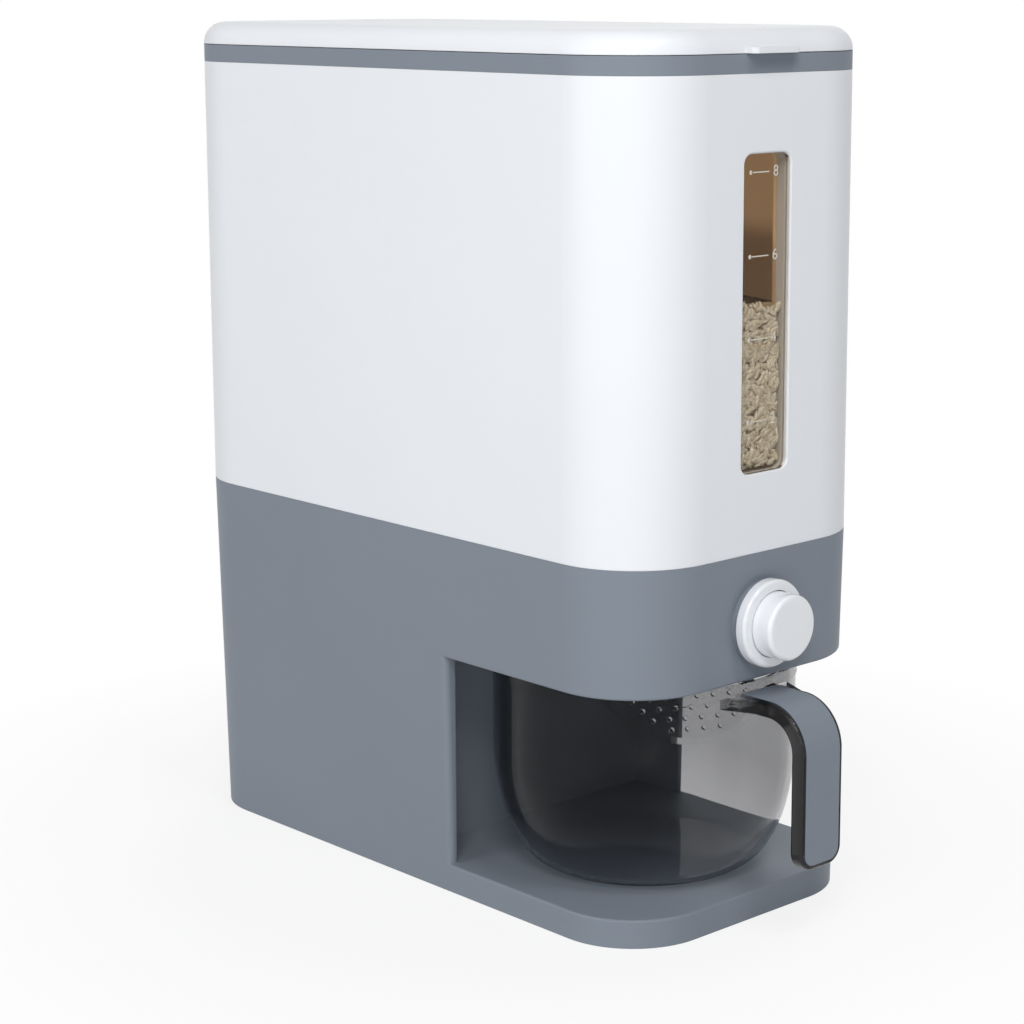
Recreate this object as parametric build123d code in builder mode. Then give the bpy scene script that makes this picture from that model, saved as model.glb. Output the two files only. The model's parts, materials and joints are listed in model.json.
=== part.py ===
from build123d import *
import math
import os

# Rice dispenser: a bin with a hinged lid, a press button that opens the outlet, and a bowl that
# pulls out to the front. Millimetres. The origin is the middle of the base on the table, +Z is up
# and the front faces -Y.

# Overall sizes
BASE_WIDTH = 160.0
BASE_DEPTH = 330.0
TOTAL_HEIGHT = 410.0
BODY_FLARE = 3.5  # every wall leans out by this much between the base and the seam
CORNER_RADIUS = 44.0  # plan corners at the seam
BAND_HEIGHT = 8.5
LID_HEIGHT = 11.0

# Fits between the pieces
FIT_GAP = 0.2  # fixed pieces that slip into each other
MOVE_GAP = 0.3  # pieces that move past each other
PIN_GAP = 0.05  # shafts in their holes, on the radius
CUT_OVERRUN = 5.0  # how far a cutting shape runs past the face that it cuts

# Lower housing
HOUSING_WALL = 3.0
PLATFORM_HEIGHT = 13.5
ALCOVE_HEIGHT = 103.0
ALCOVE_BACK_GAP = 9.3  # from the bowl to the back wall
ALCOVE_STEP = 31.5  # the back wall lies this much behind the rounded ends of the side walls
ALCOVE_SIDE_WALL = 4.0
ALCOVE_EDGE_RADIUS = 3.4
EDGE_RADIUS = 1.2
SEAM_MARGIN = 12.1  # from the button to the joint between the grey and the white body
SEAM_LIP_HEIGHT = 5.0
SEAM_LIP_WALL = 2.0
SEAM_LIP_ROOT = 8.0

# Bottom cover
BASE_PLATE_THICKNESS = 4.0
SCREW_RADIUS = 1.5
SCREW_HEAD_RADIUS = 3.0
SCREW_HEAD_HEIGHT = 1.6
SCREW_LENGTH = 8.0
SCREW_POCKET_DEPTH = 1.8
BOSS_RADIUS = 5.0
BOSS_HEIGHT = 22.0
BOSS_BITE = 1.2  # how far a boss runs into the wall beside it
BOSS_FRONT_INSET = 22.0  # from the side of the base to the front bosses
BOSS_FRONT_SETBACK = 40.0  # from the front of the base
BOSS_REAR_SETBACK = 65.0  # from the rear of the base
FOOT_RADIUS = 8.0
FOOT_THICKNESS = 2.0
FOOT_INSET = 25.0

# White bin shell and the grey collar on top of it
SHELL_WALL = 3.0
COLLAR_WALL = 2.5
WINDOW_WIDTH = 30.2
WINDOW_RISE = 36.5  # from the seam to the bottom of the window
WINDOW_DROP = 34.8  # from the grey band to the top of the window
WINDOW_CORNER = 5.0
WINDOW_RECESS = 0.8
WINDOW_LAP = 3.0
WINDOW_FLANGE = 1.5
WINDOW_CHAMFER = 0.6

# Hopper inside the bin
HOPPER_INSET = 9.5  # from the outside of the body to the outside of the hopper
HOPPER_WALL = 2.0
HOPPER_FLANGE = 2.0
HOPPER_REAR_SLOPE = 30.0
HOPPER_SIDE_SLOPE = 40.0
HOPPER_FRONT_SLOPE = 54.0
OUTLET_WIDTH = 50.0
OUTLET_LENGTH = 9.7

# Gate under the outlet
TRACK_PLATE = 2.0
TRACK_RAIL = 7.7
TRACK_SPARE = 0.5  # track left behind the open gate
TRACK_FRONT = 24.0  # from the outlet to the front end of the track
GATE_THICKNESS = 2.2
GATE_MARGIN = 5.0  # gate beside its slot
GATE_OVERLAP = 0.8  # how far the slot of the shut gate stays away from the outlet
GATE_REAR = 13.5  # from the outlet to the rear end of the shut gate
GATE_TAB_THICKNESS = 3.5
GATE_TAB_WIDTH = 20.0
GATE_TAB_TOP = 6.5  # above the middle of the rod
CHUTE_MARGIN = 2.0
CHUTE_WALL = 2.0
FLANGE_HALF_LENGTH = 18.0
TRACK_SCREW_Y = 12.0

# Press button
BUTTON_CLEARANCE = 2.8  # from the floor of the overhang to the nut behind the button
CAP_RADIUS = 15.2
CAP_PROUD = 0.5  # how far the pressed cap stands out of its bezel
CAP_WALL = 2.5
CAP_EDGE_RADIUS = 2.0
CAP_FLANGE = 0.9
CAP_FLANGE_THICKNESS = 2.0
CAP_SOCKET_WALL = 2.0
CAP_SOCKET_DEPTH = 6.0
BEZEL_LAP = 2.2  # how far the bezel is wider than its barrel
BEZEL_THICKNESS = 5.2
BEZEL_EDGE_RADIUS = 1.5
BARREL_WALL = 1.8
BARREL_SPARE = 3.7  # barrel left behind the pressed cap
BARREL_FLOOR = 2.0
NUT_LAP = 3.0  # how far the nut is wider than the barrel
NUT_THICKNESS = 4.0
SEAT_PROUD = 2.8  # how far the top of the round seat stands out of the leaning wall
SEAT_STEP = 1.0  # how far the seat is narrower than the bezel
ROD_RADIUS = 4.0
ROD_REACH = 14.5  # how far the rod stands out behind the barrel
ROD_SCREW_DEPTH = 8.0
SPRING_RADIUS = 9.5
SPRING_WIRE = 1.2
SPRING_TURNS = 7

# Lid and hinge
LID_WALL = 2.5
LID_EDGE_FLAT = 0.3  # upright part of the edge of the lid, below its rounding
TAB_WIDTH = 30.0
TAB_REACH = 5.5
TAB_THICKNESS = 2.7
TAB_CORNER = 3.0
LINER_INSET = 6.0
LINER_THICKNESS = 2.0
LINER_BOSS_RADIUS = 4.0
LINER_BOSS_INSET = 40.0
SKIRT_WALL = 2.0
SKIRT_DEPTH = 7.0
GASKET_WIDTH = 1.6
GASKET_HEIGHT = 3.0
GASKET_DROP = 2.0
HINGE_SETBACK = 1.0  # from the rear face of the body to the hinge axis
KNUCKLE_RADIUS = 4.0
KNUCKLE_LENGTH = 16.0
LID_KNUCKLE_LENGTH = 31.4
PIN_RADIUS = 1.5

# Bowl with its handle and strainer
BOWL_SIDE_MARGIN = 7.4  # from the side of the base to the bowl
BOWL_HEADROOM = 2.0  # from the rim of the bowl to the top of the alcove
BOWL_WALL = 2.5
BOWL_ROUND_WIDTH = 26.6
BOWL_ROUND_HEIGHT = 56.2
BOWL_BAND = 0.6
BOWL_BAND_HEIGHT = 7.5
BOWL_RIM_RADIUS = 0.8
HANDLE_REACH = 41.5  # from the front of the bowl to the outside of the handle
HANDLE_DROP = 3.5  # from the rim of the bowl to the top of the handle
HANDLE_CLEARANCE = 22.3  # from the platform to the end of the handle
HANDLE_BEND = 22.0
HANDLE_WIDTH = 27.0
HANDLE_THICKNESS = 7.5
HANDLE_END_FLAT = 5.5  # half of what the rounded corners leave straight at the end of the handle
HANDLE_EDGE_RADIUS = 1.5
HANDLE_ROOT_SPREAD = 9.0
HANDLE_ROOT_LENGTH = 20.0
COVER_MARGIN = 2.1
COVER_DEPTH = 1.6
COVER_SETBACK = 2.0  # from the outside of the bowl to the near end of the cover
STRAINER_DIRECTION = 246.0  # degrees round the bowl, from +X
STRAINER_STANDOFF = 16.0  # from the wall of the bowl to the top edge of the panel
STRAINER_DROP = 23.0
STRAINER_THICKNESS = 1.8
STRAINER_HOLE_RADIUS = 1.2
STRAINER_HOLE_PITCH = 8.0
STRAINER_ROW_COUNTS = (9, 8, 7, 6, 4)
STRAINER_TAB_WIDTH = 8.0
STRAINER_TAB_THICKNESS = 1.0
STRAINER_TAB_ANGLE = 20.0

# Places worked out from the sizes: plan
BODY_WIDTH = BASE_WIDTH + 2 * BODY_FLARE
BODY_DEPTH = BASE_DEPTH + 2 * BODY_FLARE
BASE_FRONT = -BASE_DEPTH / 2
BODY_FRONT = -BODY_DEPTH / 2
BODY_REAR = BODY_DEPTH / 2
COLLAR_INSET = HOPPER_INSET + HOPPER_WALL
BOWL_RADIUS = BASE_WIDTH / 2 - BOWL_SIDE_MARGIN
BOWL_INSIDE = BOWL_RADIUS - BOWL_WALL
BOWL_FOOT_RADIUS = BOWL_RADIUS - BOWL_ROUND_WIDTH
BOWL_Y = BASE_FRONT + BOWL_RADIUS
HANDLE_FRONT = BOWL_Y - BOWL_RADIUS - HANDLE_REACH
HANDLE_END_RADIUS = HANDLE_WIDTH / 2 - HANDLE_END_FLAT
ALCOVE_BACK = BOWL_Y + BOWL_RADIUS + ALCOVE_BACK_GAP
ALCOVE_SIDE_END = ALCOVE_BACK - ALCOVE_STEP
OUTLET_Y = BOWL_Y
FOOT_X = BASE_WIDTH / 2 - FOOT_INSET
FOOT_Y = BASE_DEPTH / 2 - FOOT_INSET
LINER_BOSS_X = BODY_WIDTH / 2 - LINER_BOSS_INSET
LINER_BOSS_Y = BODY_DEPTH / 2 - LINER_BOSS_INSET
BUTTON_STROKE = OUTLET_LENGTH + GATE_OVERLAP
GATE_WIDTH = OUTLET_WIDTH + 2 * GATE_MARGIN
TRACK_REAR = GATE_REAR + BUTTON_STROKE + TRACK_SPARE
TRACK_HALF_WIDTH = GATE_WIDTH / 2 + MOVE_GAP + TRACK_RAIL
TRACK_SCREW_X = TRACK_HALF_WIDTH - TRACK_RAIL / 2
HINGE_Y = BODY_REAR + HINGE_SETBACK
KNUCKLE_X = LID_KNUCKLE_LENGTH / 2 + MOVE_GAP + KNUCKLE_LENGTH / 2
BEZEL_BORE = CAP_RADIUS + MOVE_GAP
BARREL_BORE = CAP_RADIUS + CAP_FLANGE + MOVE_GAP
BARREL_RADIUS = BARREL_BORE + BARREL_WALL
BEZEL_RADIUS = BARREL_RADIUS + BEZEL_LAP
NUT_RADIUS = BARREL_RADIUS + NUT_LAP

# Places worked out from the sizes: heights
ALCOVE_TOP = PLATFORM_HEIGHT + ALCOVE_HEIGHT
OVERHANG_FLOOR = ALCOVE_TOP + HOUSING_WALL
TRACK_TOP = OVERHANG_FLOOR + TRACK_PLATE
GATE_BOTTOM = TRACK_TOP + MOVE_GAP
RAIL_TOP = GATE_BOTTOM + GATE_THICKNESS + MOVE_GAP
OUTLET_Z = RAIL_TOP + HOPPER_FLANGE
BUTTON_HEIGHT = OVERHANG_FLOOR + BUTTON_CLEARANCE + NUT_RADIUS
SEAM_HEIGHT = BUTTON_HEIGHT + BEZEL_RADIUS + SEAM_MARGIN
BAND_TOP = TOTAL_HEIGHT - LID_HEIGHT
BAND_BOTTOM = BAND_TOP - BAND_HEIGHT
LID_BOTTOM = BAND_TOP + MOVE_GAP
LID_EDGE_RADIUS = TOTAL_HEIGHT - LID_BOTTOM - LID_EDGE_FLAT
HINGE_Z = BAND_TOP
WINDOW_BOTTOM = SEAM_HEIGHT + WINDOW_RISE
WINDOW_TOP = BAND_BOTTOM - WINDOW_DROP
WINDOW_HEIGHT = WINDOW_TOP - WINDOW_BOTTOM
WINDOW_Z = (WINDOW_TOP + WINDOW_BOTTOM) / 2
BOWL_BASE = PLATFORM_HEIGHT + MOVE_GAP
BOWL_TOP = ALCOVE_TOP - BOWL_HEADROOM
BOWL_BAND_BOTTOM = BOWL_TOP - BOWL_BAND_HEIGHT
BOWL_ROUND_TOP = BOWL_BASE + BOWL_ROUND_HEIGHT
HANDLE_TOP = BOWL_TOP - HANDLE_DROP
HANDLE_END = PLATFORM_HEIGHT + HANDLE_CLEARANCE
STRAINER_LOW = BOWL_TOP - STRAINER_DROP


def body_outline(inset, flare_share=1.0, mode=Mode.ADD):
    """Plan outline of the body, drawn in by inset. The flare share is 0 at the base, 1 at the seam."""
    flare = BODY_FLARE * flare_share
    width = BASE_WIDTH + 2 * flare - 2 * inset
    depth = BASE_DEPTH + 2 * flare - 2 * inset
    RectangleRounded(width, depth, CORNER_RADIUS - BODY_FLARE + flare - inset, mode=mode)


def facing_front(depth):
    """Upright plane that looks to the front and lies at the given y."""
    return Plane.XZ.offset(-depth)


def round_the_bowl(direction, height):
    """Level plane on the axis of the bowl whose x points in a direction round it."""
    return Plane(origin=(0, BOWL_Y, height), x_dir=Vector(1, 0, 0).rotate(Axis.Z, direction))


def front_wall(height):
    """Where the leaning front wall of the lower housing lies at a height."""
    return BASE_FRONT - BODY_FLARE * height / SEAM_HEIGHT


def is_side_end(edge):
    """Whether an edge is an upright outer edge where a side wall ends at the alcove."""
    middle = edge.center()
    upright = edge.length > (ALCOVE_TOP - PLATFORM_HEIGHT) / 2
    at_end = abs(middle.Y - ALCOVE_SIDE_END) < FIT_GAP
    at_side = abs(middle.X) > BASE_WIDTH / 2
    return upright and at_end and at_side


def is_rim_edge(edge):
    """Whether an edge is where the floor or the top of the alcove meets the outside of the housing."""
    middle = edge.center()
    level = edge.bounding_box().size.Z < FIT_GAP
    at_alcove = min(abs(middle.Z - PLATFORM_HEIGHT), abs(middle.Z - ALCOVE_TOP)) < FIT_GAP
    at_side = abs(middle.X) > BASE_WIDTH / 2 - ALCOVE_SIDE_WALL
    at_front = middle.Y < BASE_FRONT + ALCOVE_SIDE_WALL
    at_corner = abs(middle.X) > BASE_WIDTH / 2 - CORNER_RADIUS and middle.Y < BASE_FRONT + CORNER_RADIUS
    return level and at_alcove and middle.Y < ALCOVE_SIDE_END and (at_side or at_front or at_corner)


def is_handle_edge(edge):
    """Whether an edge of the handle runs along it or round its end, and not across it or through it."""
    middle = edge.center()
    heading = edge.tangent_at(0)
    straight = edge.geom_type == GeomType.LINE
    across = straight and abs(heading.X) > max(abs(heading.Y), abs(heading.Z)) and middle.Z > HANDLE_END
    through = straight and abs(heading.Y) > abs(heading.X) and edge.length < HANDLE_THICKNESS + FIT_GAP
    return middle.Y < BOWL_Y - BOWL_RADIUS and not across and not through


BUTTON_SEAT = front_wall(BUTTON_HEIGHT + BEZEL_RADIUS) - SEAT_PROUD
SEAT_DEPTH = front_wall(BUTTON_HEIGHT - NUT_RADIUS) + HOUSING_WALL + FIT_GAP - BUTTON_SEAT
CAP_FRONT = BUTTON_SEAT - BEZEL_THICKNESS - BUTTON_STROKE - CAP_PROUD
CAP_INSIDE = CAP_FRONT + CAP_WALL
CAP_REAR = BUTTON_SEAT + MOVE_GAP + CAP_FLANGE_THICKNESS
BARREL_END = CAP_REAR + BUTTON_STROKE + BARREL_SPARE
ROD_END = BARREL_END + BARREL_FLOOR + ROD_REACH
base_screw_places = [
    (BASE_WIDTH / 2 - BOSS_FRONT_INSET, BASE_FRONT + BOSS_FRONT_SETBACK),
    (BOSS_FRONT_INSET - BASE_WIDTH / 2, BASE_FRONT + BOSS_FRONT_SETBACK),
    (BASE_WIDTH / 2 - HOUSING_WALL - BOSS_RADIUS + BOSS_BITE, BASE_DEPTH / 2 - BOSS_REAR_SETBACK),
    (BOSS_RADIUS - BOSS_BITE + HOUSING_WALL - BASE_WIDTH / 2, BASE_DEPTH / 2 - BOSS_REAR_SETBACK),
]
track_screw_places = [
    (x, OUTLET_Y + y) for x in (-TRACK_SCREW_X, TRACK_SCREW_X) for y in (-TRACK_SCREW_Y, TRACK_SCREW_Y)
]

# Lower housing: the leaning outside, less the alcove, less the room inside that keeps an even wall
with BuildPart() as alcove:
    with BuildSketch(Plane.XY.offset(PLATFORM_HEIGHT)):
        with Locations((0, BODY_FRONT)):
            Rectangle(BODY_WIDTH + 2 * CUT_OVERRUN, 2 * (ALCOVE_SIDE_END - BODY_FRONT))
            Rectangle(BASE_WIDTH - 2 * ALCOVE_SIDE_WALL, 2 * (ALCOVE_BACK - BODY_FRONT))
    extrude(amount=ALCOVE_TOP - PLATFORM_HEIGHT)

with BuildPart() as alcove_walls:
    with BuildSketch(Plane.XY.offset(PLATFORM_HEIGHT - HOUSING_WALL)):
        with Locations((0, BODY_FRONT)):
            Rectangle(BODY_WIDTH + 2 * CUT_OVERRUN, 2 * (ALCOVE_BACK + HOUSING_WALL - BODY_FRONT))
    extrude(amount=ALCOVE_TOP - PLATFORM_HEIGHT + 2 * HOUSING_WALL)

with BuildPart() as housing_room:
    with BuildSketch(Plane.XY):
        body_outline(HOUSING_WALL, 0.0)
    with BuildSketch(Plane.XY.offset(SEAM_HEIGHT)):
        body_outline(HOUSING_WALL)
    loft(ruled=True)
    add(alcove_walls.part, mode=Mode.SUBTRACT)

with BuildPart() as lower_housing:
    with BuildSketch(Plane.XY):
        body_outline(0, 0.0)
    with BuildSketch(Plane.XY.offset(SEAM_HEIGHT)):
        body_outline(0)
    loft(ruled=True)
    add(alcove.part, mode=Mode.SUBTRACT)
    fillet(lower_housing.edges().filter_by(is_side_end), ALCOVE_EDGE_RADIUS)
    fillet(lower_housing.edges().filter_by(is_rim_edge), EDGE_RADIUS)
    add(housing_room.part, mode=Mode.SUBTRACT)
    # lip that the white shell slips over
    with BuildSketch(Plane.XY.offset(SEAM_HEIGHT + SEAM_LIP_HEIGHT)):
        body_outline(SHELL_WALL + FIT_GAP)
        body_outline(SHELL_WALL + FIT_GAP + SEAM_LIP_WALL, mode=Mode.SUBTRACT)
    extrude(amount=-SEAM_LIP_HEIGHT)
    with BuildSketch(Plane.XY.offset(SEAM_HEIGHT)):
        body_outline(HOUSING_WALL / 2)
        body_outline(SHELL_WALL + FIT_GAP + SEAM_LIP_WALL, mode=Mode.SUBTRACT)
    extrude(amount=-SEAM_LIP_ROOT)
    # bosses for the screws of the bottom cover
    with BuildSketch(Plane.XY.offset(BASE_PLATE_THICKNESS)):
        with Locations(base_screw_places[:2]):
            Circle(BOSS_RADIUS)
    extrude(amount=PLATFORM_HEIGHT - HOUSING_WALL / 2 - BASE_PLATE_THICKNESS)
    with BuildSketch(Plane.XY.offset(BASE_PLATE_THICKNESS)):
        with Locations(base_screw_places[2:]):
            Circle(BOSS_RADIUS)
    extrude(amount=BOSS_HEIGHT)
    with BuildSketch(Plane.XY):
        with Locations(base_screw_places):
            Circle(SCREW_RADIUS)
    extrude(amount=SCREW_POCKET_DEPTH + SCREW_LENGTH, mode=Mode.SUBTRACT)
    # round seat for the button on the leaning front wall
    with BuildSketch(facing_front(BUTTON_SEAT)):
        with Locations((0, BUTTON_HEIGHT)):
            Circle(BEZEL_RADIUS - SEAT_STEP)
    extrude(amount=-SEAT_DEPTH)
    with BuildSketch(facing_front(BUTTON_SEAT)):
        with Locations((0, BUTTON_HEIGHT)):
            Circle(BARREL_RADIUS + FIT_GAP)
    extrude(amount=-SEAT_DEPTH - CUT_OVERRUN, both=True, mode=Mode.SUBTRACT)
    # opening for the chute and holes for the screws of the track
    with BuildSketch(Plane.XY.offset(OVERHANG_FLOOR)):
        with Locations((0, OUTLET_Y)):
            Rectangle(
                OUTLET_WIDTH + 2 * (CHUTE_MARGIN + CHUTE_WALL + FIT_GAP),
                OUTLET_LENGTH + 2 * (CHUTE_MARGIN + CHUTE_WALL + FIT_GAP),
            )
        with Locations(track_screw_places):
            Circle(SCREW_RADIUS)
    extrude(amount=-HOUSING_WALL - CUT_OVERRUN, mode=Mode.SUBTRACT)
    with BuildSketch(Plane.XY.offset(ALCOVE_TOP + SCREW_POCKET_DEPTH)):
        with Locations(track_screw_places):
            Circle(SCREW_HEAD_RADIUS + FIT_GAP)
    extrude(amount=-SCREW_POCKET_DEPTH - CUT_OVERRUN, mode=Mode.SUBTRACT)

# Bottom cover with its pads and screws
with BuildPart() as base_plate:
    with BuildSketch(Plane.XY):
        body_outline(HOUSING_WALL + FIT_GAP, 0.0)
    extrude(amount=BASE_PLATE_THICKNESS)
    with BuildSketch(Plane.XY):
        with Locations(base_screw_places):
            Circle(SCREW_RADIUS)
    extrude(amount=BASE_PLATE_THICKNESS, mode=Mode.SUBTRACT)
    with BuildSketch(Plane.XY):
        with Locations(base_screw_places):
            Circle(SCREW_HEAD_RADIUS + FIT_GAP)
    extrude(amount=SCREW_POCKET_DEPTH, mode=Mode.SUBTRACT)
    with BuildSketch(Plane.XY):
        with GridLocations(2 * FOOT_X, 2 * FOOT_Y, 2, 2):
            Circle(FOOT_RADIUS + FIT_GAP)
    extrude(amount=FOOT_THICKNESS, mode=Mode.SUBTRACT)

with BuildPart() as foot_pads:
    with BuildSketch(Plane.XY):
        with GridLocations(2 * FOOT_X, 2 * FOOT_Y, 2, 2):
            Circle(FOOT_RADIUS)
    extrude(amount=FOOT_THICKNESS)

with BuildPart() as base_screws:
    with BuildSketch(Plane.XY.offset(SCREW_POCKET_DEPTH)):
        with Locations(base_screw_places):
            Circle(SCREW_HEAD_RADIUS)
    extrude(amount=-SCREW_HEAD_HEIGHT)
    with BuildSketch(Plane.XY.offset(SCREW_POCKET_DEPTH)):
        with Locations(base_screw_places):
            Circle(SCREW_RADIUS)
    extrude(amount=SCREW_LENGTH - SCREW_HEAD_HEIGHT)

# White bin shell with the slot for the window and a rebate for the rim of the hopper
with BuildPart() as bin_shell:
    with BuildSketch(Plane.XY.offset(SEAM_HEIGHT)):
        body_outline(0)
        body_outline(SHELL_WALL, mode=Mode.SUBTRACT)
    extrude(amount=BAND_BOTTOM - SEAM_HEIGHT)
    with BuildSketch(Plane.XY.offset(BAND_BOTTOM)):
        body_outline(SHELL_WALL / 2)
    extrude(amount=-HOPPER_FLANGE, mode=Mode.SUBTRACT)
    with BuildSketch(facing_front(BODY_FRONT)):
        with Locations((0, WINDOW_Z)):
            RectangleRounded(WINDOW_WIDTH, WINDOW_HEIGHT, WINDOW_CORNER)
    extrude(amount=-SHELL_WALL - FIT_GAP, mode=Mode.SUBTRACT)
    slot_edges = bin_shell.edges().filter_by_position(
        Axis.Y, BODY_FRONT - FIT_GAP, BODY_FRONT + FIT_GAP
    ).filter_by_position(Axis.Z, WINDOW_BOTTOM - FIT_GAP, WINDOW_TOP + FIT_GAP).filter_by_position(
        Axis.X, -WINDOW_WIDTH / 2 - FIT_GAP, WINDOW_WIDTH / 2 + FIT_GAP
    )
    chamfer(slot_edges, WINDOW_CHAMFER)

with BuildPart() as window_pane:
    with BuildSketch(facing_front(BODY_FRONT + WINDOW_RECESS)):
        with Locations((0, WINDOW_Z)):
            RectangleRounded(
                WINDOW_WIDTH - 2 * FIT_GAP,
                WINDOW_HEIGHT - 2 * FIT_GAP,
                WINDOW_CORNER - FIT_GAP,
            )
    extrude(amount=WINDOW_RECESS - SHELL_WALL)
    with BuildSketch(facing_front(BODY_FRONT + SHELL_WALL)):
        with Locations((0, WINDOW_Z)):
            RectangleRounded(WINDOW_WIDTH + 2 * WINDOW_LAP, WINDOW_HEIGHT + 2 * WINDOW_LAP, WINDOW_CORNER)
    extrude(amount=-WINDOW_FLANGE)

with BuildPart() as window_sleeve:
    with BuildSketch(facing_front(BODY_FRONT + SHELL_WALL + WINDOW_FLANGE)):
        with Locations((0, WINDOW_Z)):
            RectangleRounded(WINDOW_WIDTH + 2 * WINDOW_LAP, WINDOW_HEIGHT + 2 * WINDOW_LAP, WINDOW_CORNER)
            RectangleRounded(WINDOW_WIDTH, WINDOW_HEIGHT, WINDOW_CORNER, mode=Mode.SUBTRACT)
    extrude(amount=SHELL_WALL + WINDOW_FLANGE - HOPPER_INSET)

# Hopper: a straight bin whose floor falls from all four sides to the outlet


def slope_planes(wall):
    """The four sloping floors, each moved out by wall. Every plane looks up into the hopper."""
    places = [
        (0, OUTLET_Y + OUTLET_LENGTH / 2, 0, -1, HOPPER_REAR_SLOPE),
        (0, OUTLET_Y - OUTLET_LENGTH / 2, 0, 1, HOPPER_FRONT_SLOPE),
        (OUTLET_WIDTH / 2, OUTLET_Y, -1, 0, HOPPER_SIDE_SLOPE),
        (-OUTLET_WIDTH / 2, OUTLET_Y, 1, 0, HOPPER_SIDE_SLOPE),
    ]
    planes = []
    for x, y, lean_x, lean_y, slope in places:
        rise = math.cos(math.radians(slope))
        lean = math.sin(math.radians(slope))
        floor_plane = Plane(origin=(x, y, OUTLET_Z), z_dir=(lean * lean_x, lean * lean_y, rise))
        planes.append(floor_plane.offset(-wall))
    return planes


with BuildPart() as hopper_room:
    with BuildSketch(Plane.XY.offset(OUTLET_Z)):
        body_outline(HOPPER_INSET + HOPPER_WALL)
    extrude(amount=BAND_BOTTOM + CUT_OVERRUN - OUTLET_Z)
    for floor in slope_planes(0):
        split(bisect_by=floor, keep=Keep.TOP)

with BuildPart() as hopper:
    with BuildSketch(Plane.XY.offset(OUTLET_Z)):
        body_outline(HOPPER_INSET)
    extrude(amount=BAND_BOTTOM - OUTLET_Z)
    for floor in slope_planes(HOPPER_WALL):
        split(bisect_by=floor, keep=Keep.TOP)
    with BuildSketch(Plane.XY.offset(BAND_BOTTOM)):
        body_outline(SHELL_WALL / 2 + FIT_GAP)
    extrude(amount=-HOPPER_FLANGE)
    with BuildSketch(Plane.XY.offset(OUTLET_Z)):
        with Locations((0, OUTLET_Y)):
            Rectangle(2 * TRACK_HALF_WIDTH, 2 * FLANGE_HALF_LENGTH)
    extrude(amount=-HOPPER_FLANGE)
    add(hopper_room.part, mode=Mode.SUBTRACT)
    with BuildSketch(Plane.XY.offset(OUTLET_Z)):
        with Locations((0, OUTLET_Y)):
            Rectangle(OUTLET_WIDTH, OUTLET_LENGTH)
        with Locations(track_screw_places):
            Circle(SCREW_RADIUS)
    extrude(amount=-HOPPER_FLANGE, mode=Mode.SUBTRACT)
    with BuildSketch(facing_front(BODY_FRONT + HOPPER_INSET)):
        with Locations((0, WINDOW_Z)):
            RectangleRounded(WINDOW_WIDTH, WINDOW_HEIGHT, WINDOW_CORNER)
    extrude(amount=-HOPPER_WALL - FIT_GAP, mode=Mode.SUBTRACT)

# Track of the gate, with the chute that reaches through the overhang
with BuildPart() as gate_track:
    with BuildSketch(Plane.XY.offset(OVERHANG_FLOOR)):
        with Locations((0, OUTLET_Y + (TRACK_REAR - TRACK_FRONT) / 2)):
            Rectangle(2 * TRACK_HALF_WIDTH, TRACK_REAR + TRACK_FRONT)
    extrude(amount=RAIL_TOP - OVERHANG_FLOOR)
    with BuildSketch(Plane.XY.offset(RAIL_TOP)):
        with Locations((0, OUTLET_Y)):
            Rectangle(GATE_WIDTH + 2 * MOVE_GAP, 2 * (TRACK_REAR + CUT_OVERRUN))
    extrude(amount=TRACK_TOP - RAIL_TOP, mode=Mode.SUBTRACT)
    with BuildSketch(Plane.XY.offset(OVERHANG_FLOOR)):
        with Locations((0, OUTLET_Y)):
            Rectangle(
                OUTLET_WIDTH + 2 * (CHUTE_MARGIN + CHUTE_WALL),
                OUTLET_LENGTH + 2 * (CHUTE_MARGIN + CHUTE_WALL),
            )
    extrude(amount=-HOUSING_WALL)
    with BuildSketch(Plane.XY.offset(TRACK_TOP)):
        with Locations((0, OUTLET_Y)):
            Rectangle(OUTLET_WIDTH + 2 * CHUTE_MARGIN, OUTLET_LENGTH + 2 * CHUTE_MARGIN)
    extrude(amount=-TRACK_PLATE - HOUSING_WALL, mode=Mode.SUBTRACT)
    with BuildSketch(Plane.XY.offset(RAIL_TOP)):
        with Locations(track_screw_places):
            Circle(SCREW_RADIUS)
    extrude(amount=OVERHANG_FLOOR - RAIL_TOP, mode=Mode.SUBTRACT)

with BuildPart() as track_screws:
    with BuildSketch(Plane.XY.offset(ALCOVE_TOP + SCREW_POCKET_DEPTH)):
        with Locations(track_screw_places):
            Circle(SCREW_HEAD_RADIUS)
    extrude(amount=-SCREW_HEAD_HEIGHT)
    with BuildSketch(Plane.XY.offset(ALCOVE_TOP + SCREW_POCKET_DEPTH)):
        with Locations(track_screw_places):
            Circle(SCREW_RADIUS)
    extrude(amount=OUTLET_Z - ALCOVE_TOP - SCREW_POCKET_DEPTH)

# Gate: shut at rest, its slot one stroke in front of the outlet
with BuildPart() as gate:
    with BuildSketch(Plane.XY.offset(GATE_BOTTOM)):
        with Locations((0, (ROD_END + OUTLET_Y + GATE_REAR) / 2)):
            Rectangle(GATE_WIDTH, OUTLET_Y + GATE_REAR - ROD_END)
        with Locations((0, OUTLET_Y - BUTTON_STROKE)):
            Rectangle(OUTLET_WIDTH, OUTLET_LENGTH, mode=Mode.SUBTRACT)
    extrude(amount=GATE_THICKNESS)
    with BuildSketch(facing_front(ROD_END)):
        with Locations((0, (GATE_BOTTOM + BUTTON_HEIGHT + GATE_TAB_TOP) / 2)):
            Rectangle(GATE_TAB_WIDTH, BUTTON_HEIGHT + GATE_TAB_TOP - GATE_BOTTOM)
        with Locations((0, BUTTON_HEIGHT)):
            Circle(SCREW_RADIUS, mode=Mode.SUBTRACT)
    extrude(amount=-GATE_TAB_THICKNESS)

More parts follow.
